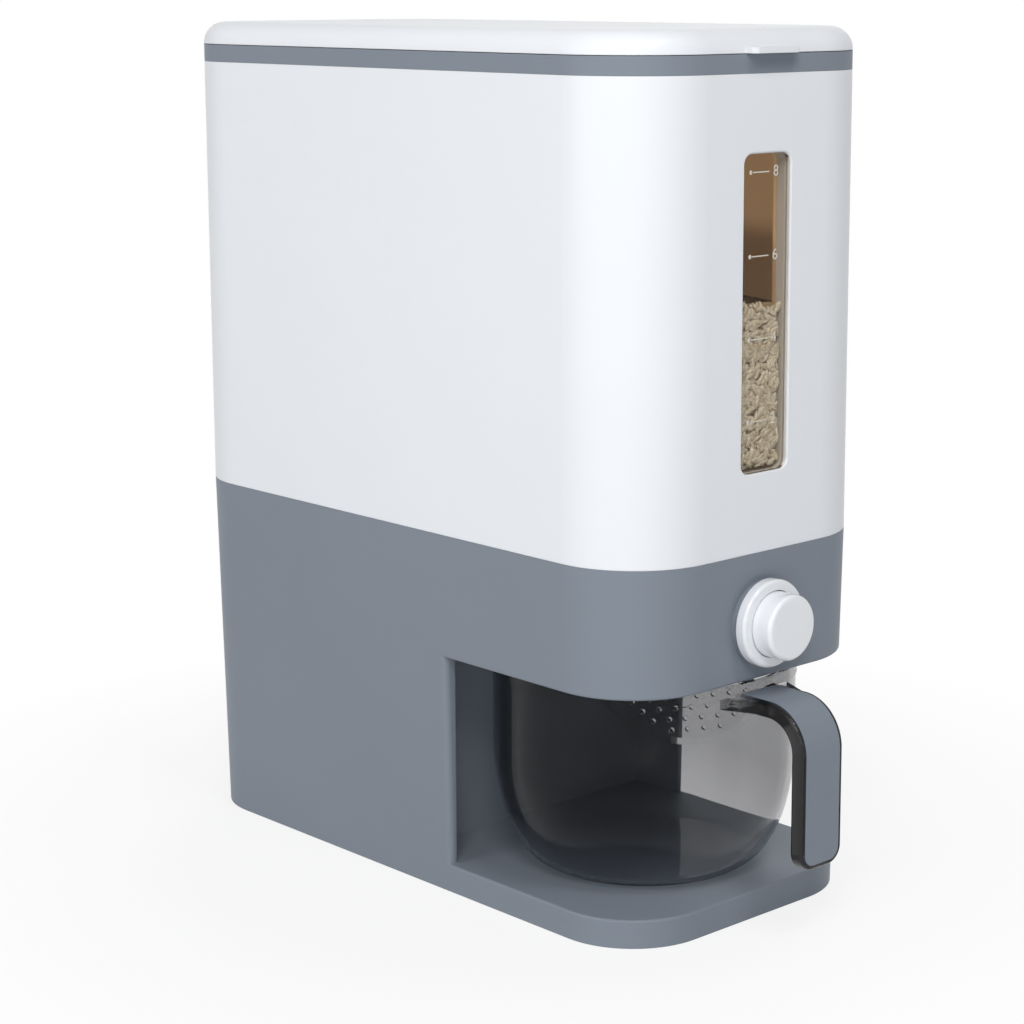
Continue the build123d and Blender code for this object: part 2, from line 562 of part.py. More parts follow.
# Press button
with BuildPart() as button_bezel:
    with BuildSketch(facing_front(BUTTON_SEAT)):
        with Locations((0, BUTTON_HEIGHT)):
            Circle(BEZEL_RADIUS)
    extrude(amount=BEZEL_THICKNESS)
    fillet(button_bezel.faces().sort_by(Axis.Y)[0].edges(), BEZEL_EDGE_RADIUS)
    with BuildSketch(facing_front(BUTTON_SEAT)):
        with Locations((0, BUTTON_HEIGHT)):
            Circle(BARREL_RADIUS)
    extrude(amount=BUTTON_SEAT - BARREL_END - BARREL_FLOOR)
    with BuildSketch(facing_front(BUTTON_SEAT)):
        with Locations((0, BUTTON_HEIGHT)):
            Circle(BARREL_BORE)
    extrude(amount=BUTTON_SEAT - BARREL_END, mode=Mode.SUBTRACT)
    with BuildSketch(facing_front(BUTTON_SEAT)):
        with Locations((0, BUTTON_HEIGHT)):
            Circle(BEZEL_BORE)
    extrude(amount=BEZEL_THICKNESS, mode=Mode.SUBTRACT)
    with BuildSketch(facing_front(BARREL_END)):
        with Locations((0, BUTTON_HEIGHT)):
            Circle(ROD_RADIUS + PIN_GAP)
    extrude(amount=-BARREL_FLOOR, mode=Mode.SUBTRACT)

with BuildPart() as bezel_nut:
    with BuildSketch(facing_front(BUTTON_SEAT + SEAT_DEPTH)):
        with Locations((0, BUTTON_HEIGHT)):
            Circle(NUT_RADIUS)
            Circle(BARREL_RADIUS, mode=Mode.SUBTRACT)
    extrude(amount=-NUT_THICKNESS)

with BuildPart() as button_cap:
    with BuildSketch(facing_front(CAP_REAR)):
        with Locations((0, BUTTON_HEIGHT)):
            Circle(CAP_RADIUS)
    extrude(amount=CAP_REAR - CAP_FRONT)
    fillet(button_cap.faces().sort_by(Axis.Y)[0].edges(), CAP_EDGE_RADIUS)
    with BuildSketch(facing_front(CAP_REAR)):
        with Locations((0, BUTTON_HEIGHT)):
            Circle(CAP_RADIUS + CAP_FLANGE)
    extrude(amount=CAP_FLANGE_THICKNESS)
    with BuildSketch(facing_front(CAP_REAR)):
        with Locations((0, BUTTON_HEIGHT)):
            Circle(CAP_RADIUS - CAP_WALL)
    extrude(amount=CAP_REAR - CAP_INSIDE, mode=Mode.SUBTRACT)
    with BuildSketch(facing_front(CAP_INSIDE)):
        with Locations((0, BUTTON_HEIGHT)):
            Circle(ROD_RADIUS + CAP_SOCKET_WALL)
            Circle(ROD_RADIUS, mode=Mode.SUBTRACT)
    extrude(amount=-CAP_SOCKET_DEPTH)

with BuildPart() as push_rod:
    with BuildSketch(facing_front(CAP_INSIDE)):
        with Locations((0, BUTTON_HEIGHT)):
            Circle(ROD_RADIUS)
    extrude(amount=CAP_INSIDE - ROD_END)
    with BuildSketch(facing_front(ROD_END)):
        with Locations((0, BUTTON_HEIGHT)):
            Circle(SCREW_RADIUS)
    extrude(amount=ROD_SCREW_DEPTH, mode=Mode.SUBTRACT)

with BuildPart() as rod_screw:
    with BuildSketch(facing_front(ROD_END + GATE_TAB_THICKNESS)):
        with Locations((0, BUTTON_HEIGHT)):
            Circle(SCREW_HEAD_RADIUS)
    extrude(amount=-SCREW_HEAD_HEIGHT)
    with BuildSketch(facing_front(ROD_END + GATE_TAB_THICKNESS)):
        with Locations((0, BUTTON_HEIGHT)):
            Circle(SCREW_RADIUS)
    extrude(amount=GATE_TAB_THICKNESS + ROD_SCREW_DEPTH)

# Return spring between the inside of the cap and the floor of the barrel, round the rod
spring_front = CAP_INSIDE + SPRING_WIRE / 2 + FIT_GAP
spring_rear = BARREL_END - SPRING_WIRE / 2 - FIT_GAP
spring_pitch = (spring_rear - spring_front) / SPRING_TURNS


def spring_point(turn):
    """Point on the middle of the wire after a number of turns."""
    angle = 2 * math.pi * turn
    return Vector(
        SPRING_RADIUS * math.cos(angle),
        spring_front + spring_pitch * turn,
        BUTTON_HEIGHT + SPRING_RADIUS * math.sin(angle),
    )


def spring_heading(turn):
    """Direction of the wire after a number of turns."""
    angle = 2 * math.pi * turn
    sweep_rate = 2 * math.pi * SPRING_RADIUS
    return Vector(-sweep_rate * math.sin(angle), spring_pitch, sweep_rate * math.cos(angle)).normalized()


with BuildPart() as return_spring:
    with BuildLine() as spring_path:
        for step in range(2 * SPRING_TURNS):
            start = spring_point(step / 2)
            end = spring_point((step + 1) / 2)
            start_heading = spring_heading(step / 2)
            end_heading = spring_heading((step + 1) / 2)
            span = end - start
            both = start_heading + end_heading
            turn_share = 2 * (1 - start_heading.dot(end_heading))
            along = span.dot(both)
            reach = (math.sqrt(along * along + turn_share * span.dot(span)) - along) / turn_share
            first_knee = start + start_heading * reach
            second_knee = end - end_heading * reach
            middle = (first_knee + second_knee) * 0.5
            TangentArc(start, middle, tangent=start_heading)
            TangentArc(middle, end, tangent=second_knee - first_knee)
    with BuildSketch(Plane(origin=spring_point(0), z_dir=spring_heading(0))):
        Circle(SPRING_WIRE / 2)
    sweep(path=spring_path.wires()[0])

spring_points = [spring_point(step / 24) for step in range(24 * SPRING_TURNS + 1)]
spring_gap = min(
    (spring_points[a] - spring_points[b]).length - SPRING_WIRE
    for a in range(len(spring_points))
    for b in range(a + 12, len(spring_points))
)
print("least gap between the turns of the spring:", round(spring_gap, 2), "mm")

# Grey collar with the fixed half of the hinge
with BuildPart() as top_collar:
    with BuildSketch(Plane.XY.offset(BAND_BOTTOM)):
        body_outline(0)
        body_outline(COLLAR_INSET, mode=Mode.SUBTRACT)
    extrude(amount=BAND_HEIGHT)
    with BuildSketch(Plane.XY.offset(BAND_BOTTOM)):
        body_outline(COLLAR_WALL)
        body_outline(COLLAR_INSET - COLLAR_WALL, mode=Mode.SUBTRACT)
    extrude(amount=BAND_HEIGHT - COLLAR_WALL, mode=Mode.SUBTRACT)
    with BuildSketch(Plane.YZ.offset(-LID_KNUCKLE_LENGTH / 2 - MOVE_GAP)):
        with Locations((HINGE_Y, HINGE_Z)):
            Circle(KNUCKLE_RADIUS + MOVE_GAP)
    extrude(amount=LID_KNUCKLE_LENGTH + 2 * MOVE_GAP, mode=Mode.SUBTRACT)
    for middle_x in (-KNUCKLE_X, KNUCKLE_X):
        with BuildSketch(Plane.YZ.offset(middle_x - KNUCKLE_LENGTH / 2)):
            with Locations((HINGE_Y, HINGE_Z)):
                Circle(KNUCKLE_RADIUS)
        extrude(amount=KNUCKLE_LENGTH)
    with BuildSketch(Plane.YZ):
        with Locations((HINGE_Y, HINGE_Z)):
            Circle(PIN_RADIUS)
    extrude(amount=KNUCKLE_X + KNUCKLE_LENGTH, both=True, mode=Mode.SUBTRACT)

with BuildPart() as hinge_pin:
    with BuildSketch(Plane.YZ):
        with Locations((HINGE_Y, HINGE_Z)):
            Circle(PIN_RADIUS)
    extrude(amount=KNUCKLE_X + KNUCKLE_LENGTH / 2, both=True)

# Lid with its tab and the moving half of the hinge
with BuildPart() as lid_room:
    with BuildSketch(Plane.XY.offset(LID_BOTTOM - CUT_OVERRUN)):
        body_outline(LID_WALL)
    extrude(amount=TOTAL_HEIGHT - LID_WALL - LID_BOTTOM + CUT_OVERRUN)
    fillet(lid_room.faces().sort_by(Axis.Z)[-1].edges(), LID_EDGE_RADIUS - LID_WALL)

with BuildPart() as lid_shell:
    with BuildSketch(Plane.XY.offset(LID_BOTTOM)):
        body_outline(0)
    extrude(amount=TOTAL_HEIGHT - LID_BOTTOM)
    fillet(lid_shell.faces().sort_by(Axis.Z)[-1].edges(), LID_EDGE_RADIUS)
    with BuildSketch(Plane.XY.offset(LID_BOTTOM)):
        with Locations((0, BODY_FRONT)):
            RectangleRounded(TAB_WIDTH, 2 * TAB_REACH, TAB_CORNER)
    extrude(amount=TAB_THICKNESS)
    add(lid_room.part, mode=Mode.SUBTRACT)
    for middle_x in (-KNUCKLE_X, KNUCKLE_X):
        with BuildSketch(Plane.YZ.offset(middle_x - KNUCKLE_LENGTH / 2 - MOVE_GAP)):
            with Locations((HINGE_Y, HINGE_Z)):
                Circle(KNUCKLE_RADIUS + MOVE_GAP)
        extrude(amount=KNUCKLE_LENGTH + 2 * MOVE_GAP, mode=Mode.SUBTRACT)
    with BuildSketch(Plane.YZ.offset(-LID_KNUCKLE_LENGTH / 2)):
        with Locations((HINGE_Y, HINGE_Z)):
            Circle(KNUCKLE_RADIUS)
    extrude(amount=LID_KNUCKLE_LENGTH)
    with BuildSketch(Plane.YZ):
        with Locations((HINGE_Y, HINGE_Z)):
            Circle(PIN_RADIUS + PIN_GAP)
    extrude(amount=LID_KNUCKLE_LENGTH / 2, both=True, mode=Mode.SUBTRACT)

with BuildPart() as lid_liner:
    with BuildSketch(Plane.XY.offset(LID_BOTTOM)):
        body_outline(LINER_INSET)
    extrude(amount=LINER_THICKNESS)
    with BuildSketch(Plane.XY.offset(LID_BOTTOM)):
        body_outline(COLLAR_INSET + MOVE_GAP + GASKET_WIDTH)
        body_outline(COLLAR_INSET + MOVE_GAP + GASKET_WIDTH + SKIRT_WALL, mode=Mode.SUBTRACT)
    extrude(amount=-SKIRT_DEPTH)
    with BuildSketch(Plane.XY.offset(LID_BOTTOM + LINER_THICKNESS)):
        with GridLocations(2 * LINER_BOSS_X, 2 * LINER_BOSS_Y, 2, 2):
            Circle(LINER_BOSS_RADIUS)
    extrude(amount=TOTAL_HEIGHT - LID_WALL - LID_BOTTOM - LINER_THICKNESS)

with BuildPart() as lid_gasket:
    with BuildSketch(Plane.XY.offset(LID_BOTTOM - GASKET_DROP)):
        body_outline(COLLAR_INSET + MOVE_GAP)
        body_outline(COLLAR_INSET + MOVE_GAP + GASKET_WIDTH, mode=Mode.SUBTRACT)
    extrude(amount=-GASKET_HEIGHT)

# Bowl with its hook handle
with BuildPart() as handle_pocket:
    with BuildLine(Plane.YZ) as cover_line:
        FilletPolyline(
            (BOWL_Y - BOWL_RADIUS - COVER_SETBACK, HANDLE_TOP),
            (HANDLE_FRONT, HANDLE_TOP),
            (HANDLE_FRONT, HANDLE_END + COVER_MARGIN),
            radius=HANDLE_BEND,
        )
    with BuildSketch(facing_front(BOWL_Y - BOWL_RADIUS - COVER_SETBACK)):
        with Locations((0, HANDLE_TOP - COVER_DEPTH / 2)):
            Rectangle(HANDLE_WIDTH - 2 * COVER_MARGIN, COVER_DEPTH)
    sweep(path=cover_line.wires()[0])
    end_corners = handle_pocket.faces().sort_by(Axis.Z)[0].edges().filter_by(Axis.Y)
    fillet(end_corners, HANDLE_END_RADIUS - COVER_MARGIN)

with BuildPart() as handle:
    with BuildLine(Plane.YZ) as handle_line:
        FilletPolyline(
            (BOWL_Y - BOWL_INSIDE - BOWL_WALL / 2, HANDLE_TOP),
            (HANDLE_FRONT, HANDLE_TOP),
            (HANDLE_FRONT, HANDLE_END),
            radius=HANDLE_BEND,
        )
    with BuildSketch(facing_front(BOWL_Y - BOWL_INSIDE - BOWL_WALL / 2)):
        with Locations((0, HANDLE_TOP - HANDLE_THICKNESS / 2)):
            Rectangle(HANDLE_WIDTH, HANDLE_THICKNESS)
    sweep(path=handle_line.wires()[0])
    end_corners = handle.faces().sort_by(Axis.Z)[0].edges().filter_by(Axis.Y)
    fillet(end_corners, HANDLE_END_RADIUS)
    fillet(handle.edges().filter_by(is_handle_edge), HANDLE_EDGE_RADIUS)

with BuildPart() as bowl:
    with BuildSketch(Plane.XZ.offset(-BOWL_Y)):
        with BuildLine():
            Polyline((0, BOWL_BASE + BOWL_WALL), (0, BOWL_BASE), (BOWL_FOOT_RADIUS, BOWL_BASE))
            EllipticalCenterArc(
                (BOWL_FOOT_RADIUS, BOWL_ROUND_TOP),
                BOWL_RADIUS - BOWL_FOOT_RADIUS,
                BOWL_ROUND_TOP - BOWL_BASE,
                start_angle=270,
                arc_size=90,
            )
            Polyline(
                (BOWL_RADIUS, BOWL_ROUND_TOP),
                (BOWL_RADIUS, BOWL_BAND_BOTTOM),
                (BOWL_RADIUS + BOWL_BAND, BOWL_BAND_BOTTOM + BOWL_BAND),
                (BOWL_RADIUS + BOWL_BAND, BOWL_TOP),
                (BOWL_INSIDE, BOWL_TOP),
                (BOWL_INSIDE, BOWL_ROUND_TOP),
            )
            EllipticalCenterArc(
                (BOWL_FOOT_RADIUS, BOWL_ROUND_TOP),
                BOWL_INSIDE - BOWL_FOOT_RADIUS,
                BOWL_ROUND_TOP - BOWL_BASE - BOWL_WALL,
                start_angle=270,
                arc_size=90,
            )
            Line((BOWL_FOOT_RADIUS, BOWL_BASE + BOWL_WALL), (0, BOWL_BASE + BOWL_WALL))
        make_face()
    revolve(axis=Axis((0, BOWL_Y, 0), (0, 0, 1)))
    fillet(bowl.faces().sort_by(Axis.Z)[-1].edges(), BOWL_RIM_RADIUS)
    add(handle.part)
    # the handle spreads where it leaves the bowl
    with BuildSketch(Plane.XY.offset(HANDLE_TOP - HANDLE_EDGE_RADIUS)):
        with BuildLine():
            Polyline(
                (-HANDLE_WIDTH / 2 - HANDLE_ROOT_SPREAD, BOWL_Y - BOWL_INSIDE - BOWL_WALL / 2),
                (-HANDLE_WIDTH / 2, BOWL_Y - BOWL_RADIUS - HANDLE_ROOT_LENGTH),
                (HANDLE_WIDTH / 2, BOWL_Y - BOWL_RADIUS - HANDLE_ROOT_LENGTH),
                (HANDLE_WIDTH / 2 + HANDLE_ROOT_SPREAD, BOWL_Y - BOWL_INSIDE - BOWL_WALL / 2),
                close=True,
            )
        make_face()
        with Locations((0, BOWL_Y)):
            Circle(BOWL_RADIUS - BOWL_WALL / 2, mode=Mode.SUBTRACT)
    extrude(amount=2 * HANDLE_EDGE_RADIUS - HANDLE_THICKNESS)
    add(handle_pocket.part, mode=Mode.SUBTRACT)

with BuildPart() as handle_cover:
    add(handle_pocket.part)

# Strainer: a flat perforated panel across one side of the bowl, hung on the rim by two tabs
strainer_radius = BOWL_INSIDE - FIT_GAP
strainer_chord = strainer_radius - STRAINER_STANDOFF
strainer_frame = round_the_bowl(STRAINER_DIRECTION, 0)
strainer_length = math.hypot(STRAINER_DROP, STRAINER_STANDOFF)
panel_plane = Plane(
    origin=strainer_frame.from_local_coords((strainer_chord, 0, BOWL_TOP)),
    x_dir=strainer_frame.y_dir,
    z_dir=strainer_frame.x_dir * STRAINER_DROP + strainer_frame.z_dir * STRAINER_STANDOFF,
)
with BuildPart() as bowl_strainer:
    with BuildSketch(panel_plane):
        Rectangle(2 * strainer_radius, 2 * (strainer_length + CUT_OVERRUN))
    extrude(amount=-STRAINER_THICKNESS)
    with BuildSketch(Plane.XY.offset(STRAINER_LOW - CUT_OVERRUN)):
        with Locations((0, BOWL_Y)):
            Circle(strainer_radius)
    extrude(amount=STRAINER_DROP + CUT_OVERRUN, mode=Mode.INTERSECT)
    with BuildSketch(panel_plane):
        for row, count in enumerate(STRAINER_ROW_COUNTS):
            row_share = (row + 1 / 2) / (len(STRAINER_ROW_COUNTS) + 1 / 2)
            with Locations((0, -strainer_length * row_share)):
                with GridLocations(STRAINER_HOLE_PITCH, 0, count, 1):
                    Circle(STRAINER_HOLE_RADIUS)
    extrude(amount=-STRAINER_THICKNESS, both=True, mode=Mode.SUBTRACT)
    for turn in (-STRAINER_TAB_ANGLE, STRAINER_TAB_ANGLE):
        with BuildSketch(round_the_bowl(STRAINER_DIRECTION + turn, BOWL_TOP)):
            with Locations(((strainer_chord + BOWL_RADIUS) / 2, 0)):
                Rectangle(BOWL_RADIUS - strainer_chord, STRAINER_TAB_WIDTH)
        extrude(amount=STRAINER_TAB_THICKNESS)

pieces = {
    "lower_housing": lower_housing,
    "base_plate": base_plate,
    "foot_pads": foot_pads,
    "base_screws": base_screws,
    "bin_shell": bin_shell,
    "window_pane": window_pane,
    "window_sleeve": window_sleeve,
    "hopper": hopper,
    "gate_track": gate_track,
    "track_screws": track_screws,
    "gate": gate,
    "button_bezel": button_bezel,
    "bezel_nut": bezel_nut,
    "button_cap": button_cap,
    "push_rod": push_rod,
    "rod_screw": rod_screw,
    "return_spring": return_spring,
    "top_collar": top_collar,
    "hinge_pin": hinge_pin,
    "lid_shell": lid_shell,
    "lid_liner": lid_liner,
    "lid_gasket": lid_gasket,
    "bowl": bowl,
    "handle_cover": handle_cover,
    "bowl_strainer": bowl_strainer,
}
os.makedirs("parts", exist_ok=True)
for name, piece in pieces.items():
    piece.part.label = name
    export_step(piece.part, f"parts/{name}.step")
    print(name, len(piece.part.solids()), "solids", round(piece.part.volume), "mm3")
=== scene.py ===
import json
import math
from collections import namedtuple

import bpy
import numpy as np
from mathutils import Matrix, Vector


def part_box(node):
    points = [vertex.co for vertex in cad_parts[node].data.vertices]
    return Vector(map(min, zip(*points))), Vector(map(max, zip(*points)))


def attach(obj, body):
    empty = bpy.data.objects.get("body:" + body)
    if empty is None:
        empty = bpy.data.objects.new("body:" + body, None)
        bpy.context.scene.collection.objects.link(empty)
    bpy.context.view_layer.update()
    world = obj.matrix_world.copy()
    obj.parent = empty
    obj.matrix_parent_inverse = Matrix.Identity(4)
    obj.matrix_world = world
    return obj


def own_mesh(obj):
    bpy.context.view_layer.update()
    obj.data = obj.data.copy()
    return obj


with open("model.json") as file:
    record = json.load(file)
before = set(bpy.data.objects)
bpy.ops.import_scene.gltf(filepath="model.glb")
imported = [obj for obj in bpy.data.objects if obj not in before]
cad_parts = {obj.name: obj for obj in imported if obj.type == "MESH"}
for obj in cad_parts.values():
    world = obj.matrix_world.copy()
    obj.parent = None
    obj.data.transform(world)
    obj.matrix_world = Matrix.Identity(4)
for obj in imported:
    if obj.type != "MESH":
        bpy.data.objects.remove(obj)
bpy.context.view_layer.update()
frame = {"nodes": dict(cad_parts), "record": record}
nodes = frame["nodes"]

# Marks on the window, in metres
INK_DEPTH = 0.00012
TICK_LEVELS = {"8": 0.3475, "6": 0.3104, "4": 0.2733, "2": 0.2362}
TICK_DOT_X = -0.0105
TICK_DOT_RADIUS = 0.0010
TICK_DOT_STEPS = 20
TICK_LINE_LENGTH = 0.0120
TICK_LINE_WIDTH = 0.0006
TICK_NUMBER_X = 0.0040
TICK_NUMBER_HEIGHT = 0.0050
FONT_HEIGHT_SHARE = 0.7

# The room of the hopper that the rice lies in, in metres, and its slopes
HOPPER_HALF_WIDTH = 0.072
HOPPER_HALF_DEPTH = 0.157
HOPPER_CORNER = 0.0325
OUTLET_HEIGHT = 0.1263
OUTLET_REAR = -0.08755
OUTLET_FRONT = -0.09725
OUTLET_HALF_WIDTH = 0.025
REAR_SLOPE = math.tan(math.radians(30))
FRONT_SLOPE = math.tan(math.radians(54))
SIDE_SLOPE = math.tan(math.radians(40))

# Top of the rice, in metres; its swells in radians per metre, shifts in radians, shares of RICE_SWELL
RICE_LEVEL = 0.2905
RICE_GAP = 0.0006
RICE_SWELL = 0.004
SWELL_ACROSS = 38
SWELL_ACROSS_SHIFT = 1.0
SWELL_ACROSS_FADE = 23
SWELL_ALONG = 21
SWELL_ALONG_SHIFT = 0.7
SWELL_RIPPLE = 60
SWELL_SHARE = 0.5
RIPPLE_SHARE = 0.3
RICE_DIP = 0.022
RICE_DIP_REACH = 0.030
FILL_RINGS = 26

# Grains, in metres, with their layers and lifts in grain widths
GRAIN_LENGTH = 0.0056
GRAIN_WIDTH = 0.0023
GRAIN_FLATNESS = 0.86
GRAIN_LARGEST = 1.15
WINDOW_LAP = 0.003
WINDOW_GRAINS = 1700
WINDOW_LAYERS = (0.6, 0.8, 1.2, 1.6, 2.0, 2.4)
WINDOW_TILT = 0.15
RAGGED_SHARE = 0.4
RAGGED_WAVES = 500
TOP_GRAINS = 4000
TOP_LIFTS = (-0.1, 0.5)
TOP_TILT = 0.25
SEED = 7

# Camera, fitted to the edges of the body
CAMERA_PLACE = Vector((-0.8196, -0.9126, 0.4293))
CAMERA_AZIMUTH = math.radians(-43.58)
CAMERA_PITCH = math.radians(10.41)
CAMERA_FOCUS_PX = 2496.96
CAMERA_MIDDLE_PX = (585.07, 441.66)
CAMERA_REACH = 20
IMAGE_PX = 1024
SENSOR = 36.0

# Heights between which the wall of the hopper glows more and more, painted light in place of light let
# through from outside, in metres, and how much
GLOW_LOW = 0.308
GLOW_HIGH = 0.318
GLOW_WEAK = 0.10
GLOW_STRONG = 0.36

# The bowl is clear, palest at its foot with painted light that brightens the shaded platform seen through
# it, and its handle is dark: where the changes lie, in metres
HANDLE_CLEAR_Y = -0.168
HANDLE_DARK_Y = -0.178
HANDLE_COAT = 0.25
FOOT_PALE_Z = 0.020
FOOT_SMOKY_Z = 0.050

# Floor, in metres, and how white it is to the eye near the object
FLOOR_HALF_SIZE = 6.0
FLOOR_DROP = 0.0002
FLOOR_SHADE_NEAR = 0.17
FLOOR_SHADE_FAR = 0.40
FLOOR_WHITE_NEAR = 0.80

# Light: what the lamps look at, in metres, and the light of the world
LAMP_TARGET = Vector((0, 0, 0.2))
WORLD_LIGHT = 0.16
WORLD_TINT = (0.95, 0.97, 1.0)

# Colours, linear
WHITE = (0.80, 0.82, 0.85)
GREY = (0.216, 0.245, 0.287)
LINER = (0.52, 0.47, 0.41)
TEA = (0.42, 0.27, 0.14)
PANE = (0.96, 0.93, 0.87)
STRAINER = (0.94, 0.94, 0.94)
SMOKE = (0.36, 0.365, 0.38)
SMOKE_BOWL = (0.62, 0.62, 0.625)
# Paler tint at the foot: painted light that lifts the shade of the platform seen through it
SMOKE_FOOT_PAINTED_LIGHT = (0.86, 0.86, 0.865)
SMOKE_HANDLE = (0.05, 0.05, 0.052)
CLEAR_SHADOW = (0.97, 0.97, 0.97)
RICE_PALE = (0.56, 0.50, 0.40)
RICE_DEEP = (0.39, 0.32, 0.22)
# Bed of rice under the grains, darker than them: painted shade in the gaps between grains
SHADED_BED_PALE = (0.34, 0.26, 0.16)
SHADED_BED_DEEP = (0.22, 0.15, 0.08)
INK = (0.72, 0.68, 0.60)
RUBBER = (0.03, 0.032, 0.036)
SILICONE = (0.36, 0.38, 0.40)
STEEL = (0.52, 0.53, 0.55)
FLOOR = (0.87, 0.87, 0.875)

# Most of a noise lies between these values
NOISE_LOW = 0.3
NOISE_HIGH = 0.7

# Noise in materials, in waves per metre
TINT_WAVES = 7.0
GLOSS_WAVES = 25.0
GRAIN_WAVES = 1500.0
CLEAR_TINT_WAVES = 14.0
HAZE_WAVES = 60.0
SCRATCH_WAVES = 700.0
RICE_TINT_WAVES = 240.0
RICE_GLOSS_WAVES = 500.0
RICE_RELIEF_WAVES = 900.0
FLOOR_WAVES = 3.0

# Depths of relief and how far plastic edges look rounded, in metres
GRAIN_FINE = 0.00001
GRAIN_SATIN = 0.00003
GRAIN_SOFT = 0.00005
GRAIN_COARSE = 0.00015
SCRATCH_DEPTH = 0.00005
RICE_RELIEF = 0.0002
EDGE_ROUNDING = 0.0006
EDGE_SAMPLES = 6

# How far the plastics bend light, and how densely the smoky one takes it in, per metre
PLASTIC_IOR = 1.48
CLEAR_IOR = 1.16
SMOKE_DENSITY = 90.0

# How much tints and roughnesses vary over a surface, as shares or from one value to another
GLOSS_VARY = 0.06
CLEAR_VARY = 0.03
HAZE_VARY = 0.3
STEEL_VARY = 0.2
FLOOR_VARY = 0.01
STEEL_ROUGHNESS = (0.22, 0.42)
RICE_ROUGHNESS = (0.40, 0.60)

Look = namedtuple("Look", "material tree shader place output")


def new_look(name):
    """Empty node material with its shader, its own coordinates and its output."""
    material = bpy.data.materials.new(name)
    material.use_nodes = True
    tree = material.node_tree
    tree.nodes.clear()
    output = tree.nodes.new("ShaderNodeOutputMaterial")
    shader = tree.nodes.new("ShaderNodeBsdfPrincipled")
    place = tree.nodes.new("ShaderNodeTexCoord")
    tree.links.new(shader.outputs["BSDF"], output.inputs["Surface"])
    return Look(material, tree, shader, place.outputs["Object"], output)


def set_values(node, values):
    """Writes values on the inputs of a node."""
    for socket, value in values.items():
        node.inputs[socket].default_value = value


def feed(look, value, socket):
    """Links a value to an input of the shader of a look."""
    look.tree.links.new(value, look.shader.inputs[socket])


def scaled(colour, share):
    """Colour made darker or lighter."""
    return tuple(min(c * share, 1) for c in colour)


def noise(look, waves, detail=2.0, roughness=0.5):
    """Noise over the surface, in waves per metre."""
    node = look.tree.nodes.new("ShaderNodeTexNoise")
    set_values(node, {"Scale": waves, "Detail": detail, "Roughness": roughness})
    look.tree.links.new(look.place, node.inputs["Vector"])
    return node.outputs["Fac"]


def split(look):
    """Place on the surface, as its X, Y and Z."""
    node = look.tree.nodes.new("ShaderNodeSeparateXYZ")
    look.tree.links.new(look.place, node.inputs["Vector"])
    return node.outputs


def spread(look, value, low, high, start=NOISE_LOW, end=NOISE_HIGH):
    """Carries a value from start..end to low..high."""
    node = look.tree.nodes.new("ShaderNodeMapRange")
    set_values(node, {"From Min": start, "From Max": end, "To Min": low, "To Max": high})
    look.tree.links.new(value, node.inputs["Value"])
    return node.outputs["Result"]


def shade(look, value, dark, light):
    """Colour between two tints, by a value that varies as a noise does."""
    node = look.tree.nodes.new("ShaderNodeValToRGB")
    stops = node.color_ramp.elements
    for stop, position, colour in zip(stops, (NOISE_LOW, NOISE_HIGH), (dark, light)):
        stop.position = position
        stop.color = (*colour, 1)
    look.tree.links.new(value, node.inputs["Fac"])
    return node.outputs["Color"]


def bump(look, height, strength, distance, surface=None):
    """Fine relief over the surface, or over one with softened edges."""
    node = look.tree.nodes.new("ShaderNodeBump")
    set_values(node, {"Strength": strength, "Distance": distance})
    look.tree.links.new(height, node.inputs["Height"])
    if surface:
        look.tree.links.new(surface, node.inputs["Normal"])
    feed(look, node.outputs["Normal"], "Normal")


def soft_edges(look):
    """Surface whose sharp edges catch the light as if they were slightly rounded."""
    node = look.tree.nodes.new("ShaderNodeBevel")
    node.samples = EDGE_SAMPLES
    node.inputs["Radius"].default_value = EDGE_ROUNDING
    return node.outputs["Normal"]


def calculate(tree, operation, first, second):
    """Result of an operation on two links."""
    node = tree.nodes.new("ShaderNodeMath")
    node.operation = operation
    tree.links.new(first, node.inputs[0])
    tree.links.new(second, node.inputs[1])
    return node.outputs["Value"]


def mix(tree, share, first, second, output):
    """Shows the second shader by a share, and the first for the rest."""
    node = tree.nodes.new("ShaderNodeMixShader")
    tree.links.new(share, node.inputs["Fac"])
    tree.links.new(first, node.inputs[1])
    tree.links.new(second, node.inputs[2])
    tree.links.new(node.outputs["Shader"], output.inputs["Surface"])


def seen_rays(tree):
    """1 for rays that show the background to the camera, directly, in gloss or through clear plastic."""
    rays = tree.nodes.new("ShaderNodeLightPath").outputs
    direct = calculate(tree, "MAXIMUM", rays["Is Camera Ray"], rays["Is Glossy Ray"])
    return calculate(tree, "MAXIMUM", direct, rays["Is Transmission Ray"])


def moulded(name, colour, roughness, vary, grain=GRAIN_FINE, coat=0.0, gloss=0.4):
    """Moulded plastic: slow change of tint, a gloss that isn't quite even and a fine grain."""
    look = new_look(name)
    slow = noise(look, TINT_WAVES)
    feed(look, shade(look, slow, scaled(colour, 1 - vary), scaled(colour, 1 + vary)), "Base Color")
    cloud = noise(look, GLOSS_WAVES)
    feed(look, spread(look, cloud, roughness * (1 - GLOSS_VARY), roughness * (1 + GLOSS_VARY)), "Roughness")
    bump(look, noise(look, GRAIN_WAVES), strength=0.3, distance=grain, surface=soft_edges(look))
    set_values(look.shader, {"IOR": PLASTIC_IOR, "Specular IOR Level": gloss})
    set_values(look.shader, {"Coat Weight": coat, "Coat Roughness": 0.08})
    return look


def painted_glow_wall(name, colour):
    """Thin moulded wall that glows, most of it near the top: painted light in place of the light from
    outside that comes through it.
    """
    look = moulded(name, colour, roughness=0.40, vary=0.05, grain=GRAIN_SATIN)
    glow = spread(look, split(look)["Z"], GLOW_WEAK, GLOW_STRONG, GLOW_LOW, GLOW_HIGH)
    feed(look, glow, "Emission Strength")
    set_values(look.shader, {"Emission Color": (*colour, 1)})
    return look


